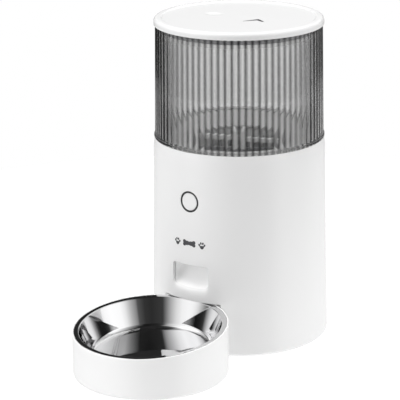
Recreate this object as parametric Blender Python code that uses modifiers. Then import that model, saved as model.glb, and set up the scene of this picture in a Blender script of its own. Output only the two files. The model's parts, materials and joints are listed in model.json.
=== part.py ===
"""Automatic pet feeder: a round white base unit with a smoked, reeded food hopper on top
and a steel bowl in a round tray docked at its front.

Sizes below are in millimetres and the functions scale them to metres. +Z is up, the bowl
side faces -Y, and the origin is on the ground at the middle of the feeder's footprint.
Heights (z) count from the ground. Profiles list (radius, height) from the outer top edge
down the outside and back up the inside.
"""

import math

import bmesh
import bpy
from mathutils import Matrix

MM = 0.001
GAP = 0.3             # clearance between neighbouring solids

# Base unit: a cone frustum, a little wider at the foot
FOOT_R = 94.0
SHOULDER_R = 90.0
BASE_LOW = 1.2        # underside of the housing and of the base plate
SHOULDER_Z = 216.0
WALL = 2.5
FOOT_FILLET = 5.0
LIP_R = FOOT_R - FOOT_FILLET - 0.4
PLATE_T = 3.0
LIP_TOP = BASE_LOW + PLATE_T + GAP   # top of the ledge round the base plate
HOLLOW_LOW = 8.0      # the wall is WALL thick above this height
NECK_LOW = 212.0      # and up to this one, where it turns in to the deck hole
DECK_HOLE_R = 84.6
JACK_Z = 22.0

# Bowl and tray
BOWL_REACH = 160.0    # from the base unit's axis to the bowl's axis
TRAY_R = 79.5
TRAY_WALL = 4.0
RIM_Z = 50.6          # rim plane above the ground at the bowl's axis
RIM_TILT = math.radians(4.7)
TRAY_FILLET = 4.0
TRAY_FLOOR_T = 2.6
FLANGE_R = 77.9
SHEET = 0.9
BOWL_DEPTH = 27.0
POCKET_R = 82.5
POCKET_TOP = 57.6

# Food chute
CHUTE_HALF_W = 22.3
CHUTE_WALL = 1.8
CHUTE_TOP = 159.7
WINDOW_TOP = 96.3
WINDOW_LOW = 66.0
SLIDE = [(-102.0, 62.1), (-56.0, 98.0), (-26.0, CHUTE_TOP)]   # (y, z) from the axis
DUCT_DEPTH = 24.0     # of the duct's upper end, front to back
CEILING_Z = WINDOW_TOP + 1.5

# Dispensing chamber, drive and button
CHAMBER_R = 51.5
CHAMBER_FLOOR = 162.5
CHAMBER_TOP = 200.0
CHAMBER_WALL = 2.3
CHAMBER_FLOOR_T = 2.5
SHAFT_R = 3.0
GEAR_TEETH = 40
PINION_TEETH = 12
GEAR_MODULE = 1.0
MOTOR_Y = GEAR_MODULE * (GEAR_TEETH + PINION_TEETH) / 2
GEAR_Z = 150.0
GEAR_T = 6.0
CASE_MARGIN = 3.6     # from a gear's pitch circle to the outside of the gear case
BUTTON_Z = 164.4
BUTTON_R = 10.75
BUTTON_HOLE_R = 11.9
BUTTON_BOARD_BACK = 11.0   # from the housing's front to the switch board's face
BOARD_T = 1.6

# Hopper tank and lid
REEDS = 78
REED_DEPTH = 1.2
TANK_LOW_R = 88.8
TANK_TOP_R = 87.1
TANK_TOP = 335.2
TANK_BORE_R = 84.3
SPIGOT_R = 84.2
SPIGOT_LOW = 206.0
SPIGOT_WALL = 2.2
THROAT_R = 50.0
LID_R = 88.5
LID_LOW = 335.5
LID_TOP = 343.0
LID_T = 4.0
PLUG_R = 82.4

# Battery bay
CELL_R = 16.8
CELL_L = 61.5
CELL_NOSE_L = 2.0
BAY_HALF_X = 37.5
BAY_HALF_Y = 53.0
BAY_TOP = 42.5
BAY_WALL = 2.0
DOOR_INSET = 3.5      # from the bay's outside to the door's opening

# Screws: how far out they stand from the axis, at these turns about it
BOSS_R = 80.0
BOSS_TURNS = [math.radians(a) for a in (45, 135, 225, 315)]
DECK_SCREW_R = 80.0
DECK_TURNS = [math.radians(a) for a in (30, 150, 270)]
DECK_Z = 197.6
DECK_T = 2.1

SEGMENTS = 64
FOOTPRINT_SHIFT = (BOWL_REACH + TRAY_R - FOOT_R) / 2   # base unit's axis stands this far back
AXIS = (0.0, FOOTPRINT_SHIFT)
BOWL_AXIS = (0.0, FOOTPRINT_SHIFT - BOWL_REACH)


# ---------------------------------------------------------------- scene and materials

def start_scene():
    """Empty the scene and make one collection for the parts and one for the cutters."""
    for obj in list(bpy.data.objects):
        bpy.data.objects.remove(obj, do_unlink=True)
    made = []
    for name in ("pet_feeder", "cutters"):
        collection = bpy.data.collections.new(name)
        bpy.context.scene.collection.children.link(collection)
        made.append(collection)
    return made


PARTS, CUTTERS = start_scene()


def finish(name, colour, roughness, metallic=0.0, alpha=1.0):
    """One Principled material."""
    material = bpy.data.materials.new(name)
    material.use_nodes = True
    shader = material.node_tree.nodes["Principled BSDF"]
    shader.inputs["Base Color"].default_value = (*colour, 1.0)
    shader.inputs["Roughness"].default_value = roughness
    shader.inputs["Metallic"].default_value = metallic
    shader.inputs["Alpha"].default_value = alpha
    return material


GLOSS_WHITE = finish("gloss_white", (0.88, 0.88, 0.88), 0.2)
INNER_WHITE = finish("inner_white", (0.8, 0.8, 0.8), 0.5)
SMOKED = finish("smoked_clear", (0.18, 0.18, 0.19), 0.08, alpha=0.45)
STEEL = finish("bowl_steel", (0.75, 0.75, 0.76), 0.12, 1.0)
ZINC = finish("zinc_steel", (0.6, 0.6, 0.62), 0.35, 1.0)
SILICONE = finish("grey_silicone", (0.35, 0.35, 0.36), 0.6)
RUBBER = finish("foot_rubber", (0.1, 0.1, 0.1), 0.8)
DARK = finish("dark_plastic", (0.06, 0.06, 0.065), 0.4)
ACETAL = finish("gear_acetal", (0.82, 0.8, 0.74), 0.4)
BRASS = finish("brass", (0.75, 0.58, 0.3), 0.3, 1.0)
BOARD = finish("board_green", (0.05, 0.22, 0.1), 0.45)
CELL = finish("cell_jacket", (0.12, 0.13, 0.16), 0.35)
SACHET = finish("desiccant_sachet", (0.85, 0.85, 0.82), 0.9)


# ---------------------------------------------------------------- building blocks

def place(obj, material):
    """File an object with the parts, or with the cutters when it has no material."""
    if material is None:
        CUTTERS.objects.link(obj)
        obj.hide_render = True
        obj.display_type = "WIRE"
    else:
        PARTS.objects.link(obj)
        obj.data.materials.append(material)
    return obj


def turned(name, profile, at, material, segments=SEGMENTS, height=0.0, tilt=0.0):
    """A turned solid about a vertical axis, or one tipped about X by tilt."""
    mesh = bpy.data.meshes.new(name)
    points = [(r * MM, 0.0, z * MM) for r, z in profile]
    edges = [(i, i + 1) for i in range(len(points) - 1)]
    if profile[0][0] > 0:
        edges.append((len(points) - 1, 0))
    mesh.from_pydata(points, edges, [])
    obj = place(bpy.data.objects.new(name, mesh), material)
    obj.location = (at[0] * MM, at[1] * MM, height * MM)
    obj.rotation_euler.x = tilt
    screw = obj.modifiers.new("turn", "SCREW")
    screw.steps = segments
    screw.render_steps = segments
    screw.use_merge_vertices = True
    screw.merge_threshold = 0.00001
    return obj


def disc(name, radius, low, high, at, material, segments=SEGMENTS, **tipped):
    """A solid disc or cylinder between two heights."""
    profile = [(0.0, high), (radius, high), (radius, low), (0.0, low)]
    return turned(name, profile, at, material, segments, **tipped)


def block(name, low, high, material, at=AXIS, turn=0.0, bevel=0.0):
    """A box from corner to corner, relative to an axis, turned about it and bevelled."""
    bm = bmesh.new()
    bmesh.ops.create_cube(bm, size=1.0)
    size = [(h - l) * MM for l, h in zip(low, high)]
    middle = [(h + l) / 2 * MM for l, h in zip(low, high)]
    bmesh.ops.scale(bm, vec=size, verts=bm.verts)
    bmesh.ops.translate(bm, vec=middle, verts=bm.verts)
    mesh = bpy.data.meshes.new(name)
    bm.to_mesh(mesh)
    bm.free()
    obj = place(bpy.data.objects.new(name, mesh), material)
    obj.location = (at[0] * MM, at[1] * MM, 0.0)
    obj.rotation_euler.z = turn
    if bevel:
        edge = obj.modifiers.new("edges", "BEVEL")
        edge.width = bevel * MM
        edge.segments = 2
    return obj


def rod(name, radius, start, length, direction, material, segments=24, at=AXIS):
    """A solid cylinder that runs from start along 'X' or 'Y'."""
    profile = [(0.0, length), (radius, length), (radius, 0.0), (0.0, 0.0)]
    obj = turned(name, profile, (0.0, 0.0), material, segments)
    obj.location = ((start[0] + at[0]) * MM, (start[1] + at[1]) * MM, start[2] * MM)
    if direction == "X":
        obj.rotation_euler.y = math.pi / 2
    else:
        obj.rotation_euler.x = -math.pi / 2
    return obj


# A flat outline is drawn in XY; these turn its thickness to lie along X, Y or Z.
LAY = {"X": Matrix(((0, 0, 1), (1, 0, 0), (0, 1, 0))),
       "Y": Matrix(((1, 0, 0), (0, 0, -1), (0, 1, 0))),
       "Z": Matrix.Identity(3)}


def extruded(name, outlines, low, high, along, material, at=AXIS):
    """Flat outlines (the first is the edge, others are holes) given thickness along an axis.

    Outlines are (y, z) pairs along X, (x, z) pairs along Y and (x, y) pairs along Z.
    """
    curve = bpy.data.curves.new(name, "CURVE")
    curve.dimensions = "2D"
    curve.fill_mode = "BOTH"
    curve.extrude = (high - low) / 2 * MM
    for outline in outlines:
        spline = curve.splines.new("POLY")
        spline.points.add(len(outline) - 1)
        for point, (u, v) in zip(spline.points, outline):
            point.co = (u * MM, v * MM, 0.0, 1.0)
        spline.use_cyclic_u = True
    source = bpy.data.objects.new(name + "_outline", curve)
    bpy.context.scene.collection.objects.link(source)
    depsgraph = bpy.context.evaluated_depsgraph_get()
    mesh = bpy.data.meshes.new_from_object(source.evaluated_get(depsgraph))
    bpy.data.objects.remove(source)
    mesh.name = name
    bm = bmesh.new()
    bm.from_mesh(mesh)
    bmesh.ops.remove_doubles(bm, verts=bm.verts, dist=0.000001)
    middle = (high + low) / 2 * MM
    bmesh.ops.translate(bm, vec=(0.0, 0.0, -middle if along == "Y" else middle), verts=bm.verts)
    bmesh.ops.transform(bm, matrix=LAY[along].to_4x4(), verts=bm.verts)
    bmesh.ops.recalc_face_normals(bm, faces=bm.faces)
    bm.to_mesh(mesh)
    bm.free()
    obj = place(bpy.data.objects.new(name, mesh), material)
    obj.location = (at[0] * MM, at[1] * MM, 0.0)
    return obj


def combine(obj, operation, *others):
    """Boolean an object with others, in order."""
    for other in others:
        step = obj.modifiers.new(other.name, "BOOLEAN")
        step.operation = operation
        step.object = other
        step.solver = "EXACT"
    return obj


def round_outline(half_w, low, high, top_r, low_r, steps=6):
    """A rectangle about x = 0 with its own corner radius above and below."""
    corners = [(half_w - low_r, low + low_r, low_r, -90), (half_w - top_r, high - top_r, top_r, 0),
               (top_r - half_w, high - top_r, top_r, 90), (low_r - half_w, low + low_r, low_r, 180)]
    points = []
    for x, z, radius, start in corners:
        for step in range(steps + 1):
            turn = math.radians(start + 90.0 * step / steps)
            points.append((x + radius * math.cos(turn), z + radius * math.sin(turn)))
    return points


def circle(radius, at=(0.0, 0.0), count=32):
    """The points of a circle."""
    turns = [2 * math.pi * i / count for i in range(count)]
    return [(at[0] + radius * math.cos(t), at[1] + radius * math.sin(t)) for t in turns]


def offset(points, distance):
    """A closed outline grown outwards by a distance, with mitred corners (counterclockwise)."""
    grown = []
    count = len(points)
    for i in range(count):
        (ax, ay), (bx, by), (cx, cy) = points[i - 1], points[i], points[(i + 1) % count]
        first = math.atan2(by - ay, bx - ax) - math.pi / 2
        second = math.atan2(cy - by, cx - bx) - math.pi / 2
        half = (second - first) / 2
        reach = distance / math.cos(half)
        grown.append((bx + reach * math.cos(first + half), by + reach * math.sin(first + half)))
    return grown


def gear_outline(teeth, module, phase):
    """A spur gear's edge: straight-flanked teeth between the root and tip circles."""
    pitch_r = module * teeth / 2
    tooth = [(-0.30, -1.2), (-0.14, 0.9), (0.14, 0.9), (0.30, -1.2)]
    points = []
    for i in range(teeth):
        for share, height in tooth:
            turn = 2 * math.pi * (i + share + phase) / teeth
            radius = pitch_r + height * module
            points.append((radius * math.cos(turn), radius * math.sin(turn)))
    return points


def egg_outline(big_r, small_r, reach, steps=14):
    """Two circles, the small one reach away along +Y, wrapped by one outline."""
    lean = math.asin((big_r - small_r) / reach)
    points = []
    for i in range(steps + 1):
        turn = math.pi - lean + (math.pi + 2 * lean) * i / steps
        points.append((big_r * math.cos(turn), big_r * math.sin(turn)))
    for i in range(steps + 1):
        turn = lean + (math.pi - 2 * lean) * i / steps
        points.append((small_r * math.cos(turn), reach + small_r * math.sin(turn)))
    return points


def housing_r(z):
    """Outer radius of the base unit at a height."""
    return FOOT_R + (SHOULDER_R - FOOT_R) * z / SHOULDER_Z


def foot_fillet(radius, size, steps=3):
    """The rounded edge at the foot of a turned wall, down to its underside."""
    turns = [math.pi / 2 * i / steps for i in range(steps + 1)]
    return [(radius - size * (1 - math.cos(t)), BASE_LOW + size * (1 - math.sin(t))) for t in turns]


def polar(radius, turn, axis=AXIS):
    """A point at a radius and a turn about a vertical axis."""
    return (axis[0] + radius * math.cos(turn), axis[1] + radius * math.sin(turn))


def core(name):
    """A cutter: the space inside the housing's wall and above its foot lip."""
    inset = WALL + GAP
    low = HOLLOW_LOW + GAP
    profile = [(0.0, SHOULDER_Z), (SHOULDER_R - inset, SHOULDER_Z), (housing_r(low) - inset, low),
               (LIP_R - GAP, LIP_TOP), (LIP_R - GAP, 0.0), (0.0, 0.0)]
    return turned(name, profile, AXIS, None)


# ---------------------------------------------------------------- base unit

def chute_space(name, front, grow=0.0):
    """The chute's inside as a solid: down the slide and out through the window."""
    y_low = SLIDE[0][0]
    y_front = SLIDE[2][0] - DUCT_DEPTH
    collar_low = CHUTE_TOP - 8.5
    ceiling_back = -86.0
    outline = SLIDE + [(y_front, CHUTE_TOP), (y_front, collar_low), (ceiling_back, CEILING_Z), (y_low, CEILING_Z)]
    if grow:
        outline = offset(outline, grow)
    half = CHUTE_HALF_W + grow
    return extruded(name, [outline], -half, half, "X", front)


def window_cutter():
    """The chute's window, trimmed along the slide so that the sill runs out to nothing."""
    outline = round_outline(CHUTE_HALF_W, WINDOW_LOW, WINDOW_TOP, 3.5, 6.5)
    cutter = extruded("window_cut", [outline], -105.0, -70.0, "Y", None)
    (y_low, z_low), (y_knee, z_knee), _ = SLIDE
    rise = math.atan2(z_knee - z_low, y_knee - y_low)
    bm = bmesh.new()
    bm.from_mesh(cutter.data)
    on_slide = (0.0, y_low * MM, z_low * MM)
    normal = (0.0, math.sin(rise), -math.cos(rise))
    everything = bm.verts[:] + bm.edges[:] + bm.faces[:]
    bmesh.ops.bisect_plane(bm, geom=everything, plane_co=on_slide, plane_no=normal, clear_outer=True)
    bmesh.ops.holes_fill(bm, edges=[e for e in bm.edges if e.is_boundary])
    bmesh.ops.recalc_face_normals(bm, faces=bm.faces)
    bm.to_mesh(cutter.data)
    bm.free()
    return cutter


def add_boss(housing, name, turn, box, hole):
    """A screw boss inside the housing: a box (near, far, low, high, half width) and its hole."""
    near, far, low, high, half = box
    radius, centre_r, hole_low, hole_high = hole
    boss = block(name, (near, -half, low), (far, half, high), None, turn=turn)
    drill = disc(name + "_hole", radius, hole_low, hole_high, polar(centre_r, turn), None, 16)
    combine(housing, "UNION", boss)
    combine(housing, "DIFFERENCE", drill)


def make_housing():
    """The outer shell with its bosses, window, bowl pocket, button hole and socket hole."""
    edge = 0.8
    profile = [(SHOULDER_R - edge, SHOULDER_Z), (SHOULDER_R, SHOULDER_Z - edge)]
    profile += foot_fillet(housing_r(0), FOOT_FILLET)
    profile += [(LIP_R, BASE_LOW), (LIP_R, LIP_TOP), (housing_r(HOLLOW_LOW) - WALL, HOLLOW_LOW),
                (housing_r(NECK_LOW) - WALL, NECK_LOW), (DECK_HOLE_R + 0.4, 213.0), (DECK_HOLE_R, SHOULDER_Z)]
    housing = turned("housing", profile, AXIS, GLOSS_WHITE)
    for i, turn in enumerate(BOSS_TURNS):
        add_boss(housing, f"base_boss_{i + 1}", turn, (75.5, 92.2, LIP_TOP, 30.0, 4.5), (1.7, BOSS_R, -1.0, 24.0))
    for i, turn in enumerate(DECK_TURNS):
        add_boss(housing, f"deck_boss_{i + 1}", turn, (76.0, 88.8, 182.0, DECK_Z - GAP, 4.0),
                 (1.5, DECK_SCREW_R, 186.0, 202.0))
    front = -housing_r(BUTTON_Z)
    for side in (-1, 1):
        near, far = sorted((side * 13.2, side * 16.2))
        rib = block(f"board_rib_{near:.0f}", (near, front + 2.5, BUTTON_Z - 12.0),
                    (far, front + BUTTON_BOARD_BACK - GAP, BUTTON_Z + 14.0), None)
        combine(housing, "UNION", rib)
    pocket = disc("pocket_cut", POCKET_R, -2.0, POCKET_TOP, BOWL_AXIS, None)
    button = rod("button_cut", BUTTON_HOLE_R, (0.0, -100.0, BUTTON_Z), 30.0, "Y", None, 48)
    jack = rod("jack_cut", 4.7, (0.0, 80.0, JACK_Z), 25.0, "Y", None, 24)
    combine(housing, "DIFFERENCE", pocket, window_cutter(), button, jack)


def make_base_plate():
    """The bottom plate: notched for the tray, open for the battery door, counterbored."""
    plate = disc("base_plate", LIP_R - GAP, BASE_LOW, BASE_LOW + PLATE_T, AXIS, INNER_WHITE, 48)
    notch = disc("notch_cut", POCKET_R, -2.0, 20.0, BOWL_AXIS, None)
    door = block("door_cut", (DOOR_INSET - BAY_HALF_X, DOOR_INSET - BAY_HALF_Y, -2.0),
                 (BAY_HALF_X - DOOR_INSET, BAY_HALF_Y - DOOR_INSET, 20.0), None)
    combine(plate, "DIFFERENCE", notch, door)
    for i, turn in enumerate(BOSS_TURNS):
        at = polar(BOSS_R, turn)
        drill = turned(f"screw_seat_{i + 1}", [(0.0, 20.0), (1.8, 20.0), (1.8, 2.9), (3.6, 2.9), (3.6, -1.0),
                                               (0.0, -1.0)], at, None, 24)
        combine(plate, "DIFFERENCE", drill)
        turned(f"base_screw_{i + 1}", [(0.0, 18.0), (1.35, 17.0), (1.35, 2.6), (3.2, 2.6), (3.2, 1.9),
                                       (2.4, 1.4), (0.0, 1.4)], at, ZINC, 16)


def make_feet():
    """Rubber pads: four under the base plate and three under the bowl's tray."""
    pad_top = BASE_LOW - GAP
    for i, turn in enumerate((20, 160, 205, 335)):
        at = polar(76.0, math.radians(turn))
        turned(f"base_foot_{i + 1}", [(0.0, pad_top), (7.5, pad_top), (7.0, 0.0), (0.0, 0.0)],
               at, RUBBER, 24)
    for i, turn in enumerate((90, 210, 330)):
        at = polar(62.0, math.radians(turn), BOWL_AXIS)
        turned(f"tray_foot_{i + 1}", [(0.0, pad_top), (5.5, pad_top), (5.0, 0.0), (0.0, 0.0)],
               at, RUBBER, 24)


def make_dock():
    """The wall and ceiling that close the bowl pocket off from the inside."""
    wall = 1.8
    inner = POCKET_R + 0.6
    high = POCKET_TOP + wall + 0.4
    profile = [(0.0, high), (inner + wall, high), (inner + wall, LIP_TOP), (inner, LIP_TOP),
               (inner, high - wall), (0.0, high - wall)]
    dock = turned("bowl_dock", profile, BOWL_AXIS, INNER_WHITE)
    combine(dock, "INTERSECT", core("dock_trim"))


def make_chute():
    """The food chute, a sloping duct from the chamber's outlet to the window, and its sensors."""
    chute = chute_space("food_chute", GLOSS_WHITE, CHUTE_WALL)
    hollow = chute_space("chute_hollow", None)
    y_back = SLIDE[2][0]
    mouth = block("chute_mouth", (-CHUTE_HALF_W, y_back - DUCT_DEPTH, CHUTE_TOP - 3.0),
                  (CHUTE_HALF_W, y_back, CHUTE_TOP + 8.0), None)
    over = block("chute_over", (-40.0, -110.0, CHUTE_TOP), (40.0, 0.0, CHUTE_TOP + 20.0), None)
    combine(chute, "DIFFERENCE", hollow, mouth, over)
    combine(chute, "INTERSECT", core("chute_trim"))
    for side, label in ((-1, "left"), (1, "right")):
        near = side * (CHUTE_HALF_W + CHUTE_WALL + GAP)
        far = near + side * 5.0
        block(f"food_sensor_{label}", (min(near, far), -52.0, 118.0), (max(near, far), -42.0, 127.0),
              DARK, bevel=0.6)


def inset_skin(name, depth):
    """A cutter: the base unit's cone near the button, sunk below the surface by a depth."""
    low, high = BUTTON_Z - 35.0, BUTTON_Z + 35.0
    return turned(name, [(0.0, high), (housing_r(high) - depth, high), (housing_r(low) - depth, low), (0.0, low)],
                  AXIS, None)


def make_button():
    """The round button, its light ring and the switch board behind it."""
    front = -housing_r(BUTTON_Z)
    cap = rod("button_cap", BUTTON_R, (0.0, front - 2.0, BUTTON_Z), 7.0, "Y", GLOSS_WHITE, 48)
    combine(cap, "INTERSECT", inset_skin("button_skin", 0.25))
    light = turned("light_ring", [(BUTTON_HOLE_R - GAP, 4.0), (BUTTON_HOLE_R - GAP, 0.0),
                                  (BUTTON_R + GAP, 0.0), (BUTTON_R + GAP, 4.0)], (0.0, 0.0), DARK, 32)
    light.location = (0.0, (AXIS[1] + front + 0.8) * MM, BUTTON_Z * MM)
    light.rotation_euler.x = -math.pi / 2
    combine(light, "INTERSECT", inset_skin("light_skin", 0.9))
    board_y = front + BUTTON_BOARD_BACK
    block("button_board", (-17.0, board_y, BUTTON_Z - 13.0), (17.0, board_y + BOARD_T, BUTTON_Z + 15.0), BOARD)
    block("tact_switch", (-3.0, board_y - 4.6, BUTTON_Z - 3.0), (3.0, board_y - GAP, BUTTON_Z + 3.0),
          DARK, bevel=0.4)


def make_socket():
    """The power inlet at the back."""
    jack = block("power_socket", (-4.5, 76.0, JACK_Z - 5.5), (4.5, 89.5, JACK_Z + 5.5), DARK)
    nose = rod("socket_nose", 4.3, (0.0, 88.0, JACK_Z), 5.2, "Y", None, 24)
    bore = rod("socket_bore", 2.8, (0.0, 82.0, JACK_Z), 15.0, "Y", None, 24)
    pin = rod("socket_pin", 1.0, (0.0, 81.0, JACK_Z), 10.0, "Y", None, 12)
    combine(jack, "UNION", nose)
    combine(jack, "DIFFERENCE", bore)
    combine(jack, "UNION", pin)


# ---------------------------------------------------------------- dispenser and drive

def make_chamber():
    """The round chamber that the portion rotor turns in, and the deck that carries it."""
    outer = CHAMBER_R + CHAMBER_WALL
    low = CHAMBER_FLOOR - CHAMBER_FLOOR_T
    flange_r, flange_top = outer + 7.0, CHAMBER_TOP + 2.0
    bush_r = 6.0
    profile = [(flange_r, flange_top), (flange_r, CHAMBER_TOP), (outer, CHAMBER_TOP), (outer, low),
               (bush_r + GAP, low), (bush_r + GAP, CHAMBER_FLOOR), (CHAMBER_R, CHAMBER_FLOOR),
               (CHAMBER_R, flange_top)]
    chamber = turned("rotor_chamber", profile, AXIS, INNER_WHITE, 48)
    outlet = block("outlet_cut", (-20.0, -47.5, 150.0), (20.0, -27.5, CHAMBER_FLOOR + 3.0), None)
    combine(chamber, "DIFFERENCE", outlet)
    turned("shaft_bush", [(bush_r, CHAMBER_FLOOR - 0.2), (bush_r, low - 1.5), (SHAFT_R + GAP, low - 1.5),
                          (SHAFT_R + GAP, CHAMBER_FLOOR - 0.2)], AXIS, BRASS, 32)
    holes = [circle(outer + GAP, count=48)]
    for turn in DECK_TURNS:
        holes.append(circle(1.6, polar(DECK_SCREW_R, turn, (0.0, 0.0)), 16))
    rim = circle(housing_r(DECK_Z) - WALL - 0.6, count=SEGMENTS)
    extruded("chamber_deck", [rim] + holes, DECK_Z, DECK_Z + DECK_T, "Z", INNER_WHITE)
    for i, turn in enumerate(DECK_TURNS):
        head = DECK_Z + DECK_T + GAP
        turned(f"deck_screw_{i + 1}", [(0.0, head + 1.8), (2.4, head + 1.8), (2.9, head + 1.2), (2.9, head),
                                       (1.2, head), (1.2, 188.5), (0.0, 187.5)],
               polar(DECK_SCREW_R, turn), ZINC, 16)


def make_rotor():
    """The six-vane portion rotor, the agitator on top and the shaft through both."""
    low, high = CHAMBER_FLOOR + 1.2, CHAMBER_TOP - 3.0
    reach = CHAMBER_R - 0.9
    rotor = disc("portion_rotor", 11.0, low, high, AXIS, SILICONE, 36)
    for i in range(3):
        vanes = block(f"vanes_{i + 1}", (-reach, -1.1, low + 0.4), (reach, 1.1, high - 0.4), None,
                      turn=math.radians(30 + 60 * i))
        combine(rotor, "UNION", vanes)
    combine(rotor, "DIFFERENCE", disc("rotor_bore", SHAFT_R + GAP, 150.0, 210.0, AXIS, None, 32))
    cone_low, cone_top = high + GAP, high + 22.0
    socket_top = cone_top - 8.0
    agitator = turned("agitator", [(0.0, cone_top), (4.0, cone_top), (7.0, cone_top - 3.0), (10.5, cone_low),
                                   (SHAFT_R + GAP, cone_low), (SHAFT_R + GAP, socket_top), (0.0, socket_top)],
                      AXIS, ACETAL, 32)
    for label, turn in (("a", 0.35), ("b", 0.35 + math.pi)):
        finger = block(f"finger_{label}", (5.0, -2.0, 204.5), (40.0, 2.0, 209.0), None, turn=turn)
        combine(agitator, "UNION", finger)
    disc("drive_shaft", SHAFT_R, GEAR_Z - 3.6, socket_top - 0.4, AXIS, ZINC, 32)


def make_drive():
    """Spur gear, pinion and motor in an open case under the chamber's floor."""
    gear_top = GEAR_Z + GEAR_T
    gear = gear_outline(GEAR_TEETH, GEAR_MODULE, 0.0)
    extruded("drive_gear", [gear, circle(SHAFT_R + GAP)], GEAR_Z, gear_top, "Z", ACETAL)
    motor_at = (AXIS[0], AXIS[1] + MOTOR_Y)
    pinion = gear_outline(PINION_TEETH, GEAR_MODULE, 0.5)
    extruded("motor_pinion", [pinion, circle(1.3, count=16)], GEAR_Z - 0.5, gear_top + 0.5, "Z", BRASS,
             motor_at)
    disc("motor_shaft", 1.0, 140.0, gear_top + 1.0, motor_at, ZINC, 20)
    floor_low, floor_high = GEAR_Z - 5.5, GEAR_Z - 3.0
    edge = egg_outline(GEAR_TEETH / 2 + CASE_MARGIN, PINION_TEETH / 2 + CASE_MARGIN, MOTOR_Y)
    case = extruded("gear_case", [edge], floor_low, CHAMBER_FLOOR - CHAMBER_FLOOR_T - GAP, "Z", DARK)
    hollow = extruded("case_hollow", [offset(edge, -2.0)], floor_high, CHAMBER_FLOOR, "Z", None)
    bearing = disc("case_bearing", SHAFT_R + GAP, 130.0, 160.0, AXIS, None, 32)
    passage = disc("case_passage", 3.2, 130.0, 160.0, motor_at, None, 24)
    combine(case, "DIFFERENCE", hollow, bearing, passage)
    top = floor_low - GAP
    turned("gear_motor", [(0.0, top - 30.0), (1.4, top - 30.0), (1.4, top), (11.0, top), (12.2, top - 1.5),
                          (12.2, 108.0), (11.0, 106.5), (4.0, 106.5), (4.0, 104.0), (0.0, 104.0)],
           motor_at, ZINC, 24)


# ---------------------------------------------------------------- electronics and batteries

def make_electronics():
    """The control board that stands at the back, with its radio module and connector."""
    half, front, low = 32.0, 66.0, 62.0
    back = front + BOARD_T
    block("control_board", (-half, front, low), (half, back, low + 66.0), BOARD)
    block("radio_module", (-26.0, back + GAP, 98.0), (-8.0, 71.0, 122.0), ZINC, bevel=0.3)
    block("motor_connector", (4.0, 58.0, 70.0), (16.0, front - GAP, 78.0), INNER_WHITE, bevel=0.3)
    carrier = block("board_carrier", (-half - 2.0, front - 5.0, BAY_TOP + GAP),
                    (half + 2.0, back + 5.0, low + 2.0), INNER_WHITE)
    slot = block("carrier_slot", (-half - GAP, front - GAP, low - GAP), (half + GAP, back + GAP, 80.0), None)
    relief = block("carrier_relief", (-24.0, 50.0, 30.0), (24.0, 90.0, 58.0), None)
    combine(carrier, "DIFFERENCE", slot, relief)


def coil_spring(name, start_x, end_x, y, z, turns=3, per_turn=6):
    """A conical contact spring: a helix that opens out from a cell to the bay's wall."""
    wire_r = 0.35
    inward = math.copysign(wire_r, end_x - start_x)
    start_x += inward
    end_x -= inward
    count = turns * per_turn
    curve = bpy.data.curves.new(name, "CURVE")
    curve.dimensions = "3D"
    curve.bevel_depth = wire_r * MM
    curve.bevel_resolution = 2
    curve.use_fill_caps = True
    spline = curve.splines.new("POLY")
    spline.points.add(count)
    for i, point in enumerate(spline.points):
        share = i / count
        turn = 2 * math.pi * turns * share
        radius = 3.0 + 3.0 * share
        point.co = ((start_x + (end_x - start_x) * share) * MM, radius * math.cos(turn) * MM,
                    radius * math.sin(turn) * MM, 1.0)
    obj = place(bpy.data.objects.new(name, curve), ZINC)
    obj.location = (AXIS[0] * MM, (AXIS[1] + y) * MM, z * MM)


def rod_between(name, radius, first_x, second_x, y, z, material, segments):
    """A cylinder along X between two ends, given in either order."""
    start = min(first_x, second_x)
    return rod(name, radius, (start, y, z), abs(second_x - first_x), "X", material, segments)


def make_cell(number, y):
    """One backup cell with its nose, and the spring behind it; every second one is reversed."""
    z = BASE_LOW + PLATE_T + 2.2 + CELL_R
    way = -1 if number == 2 else 1
    tip = BAY_HALF_X - BAY_WALL - 0.4
    tail = tip - CELL_NOSE_L - CELL_L
    cell = rod_between(f"backup_cell_{number}", CELL_R, way * tail, way * (tip - CELL_NOSE_L), y, z, CELL, 32)
    nose = rod_between(f"cell_nose_{number}", 4.5, way * (tail + 0.1), way * (tip - 0.1), y, z, None, 16)
    combine(cell, "UNION", nose)
    coil_spring(f"contact_spring_{number}", way * (tail - GAP), way * (BAY_WALL + GAP - BAY_HALF_X), y, z)


def make_batteries():
    """Backup cells in a bay over the base plate, their springs, and the door below."""
    bay = block("battery_bay", (-BAY_HALF_X, -BAY_HALF_Y, LIP_TOP), (BAY_HALF_X, BAY_HALF_Y, BAY_TOP), INNER_WHITE)
    inside = block("bay_inside", (BAY_WALL - BAY_HALF_X, BAY_WALL - BAY_HALF_Y, -5.0),
                   (BAY_HALF_X - BAY_WALL, BAY_HALF_Y - BAY_WALL, BAY_TOP - BAY_WALL), None)
    combine(bay, "DIFFERENCE", inside)
    for i in range(3):
        make_cell(i + 1, (i - 1) * (2 * CELL_R + 0.6))
    half_x, half_y = BAY_HALF_X - DOOR_INSET - GAP, BAY_HALF_Y - DOOR_INSET - GAP
    door = block("battery_door", (-half_x, -2 * half_y, 0.0), (half_x, 0.0, 2.0), INNER_WHITE)
    door.location = (AXIS[0] * MM, (AXIS[1] + half_y) * MM, BASE_LOW * MM)
    grip = block("door_grip", (-12.0, -46.0, 0.0), (12.0, -42.0, BASE_LOW + 0.8), None)
    combine(door, "DIFFERENCE", grip)


# ---------------------------------------------------------------- hopper tank and lid

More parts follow.
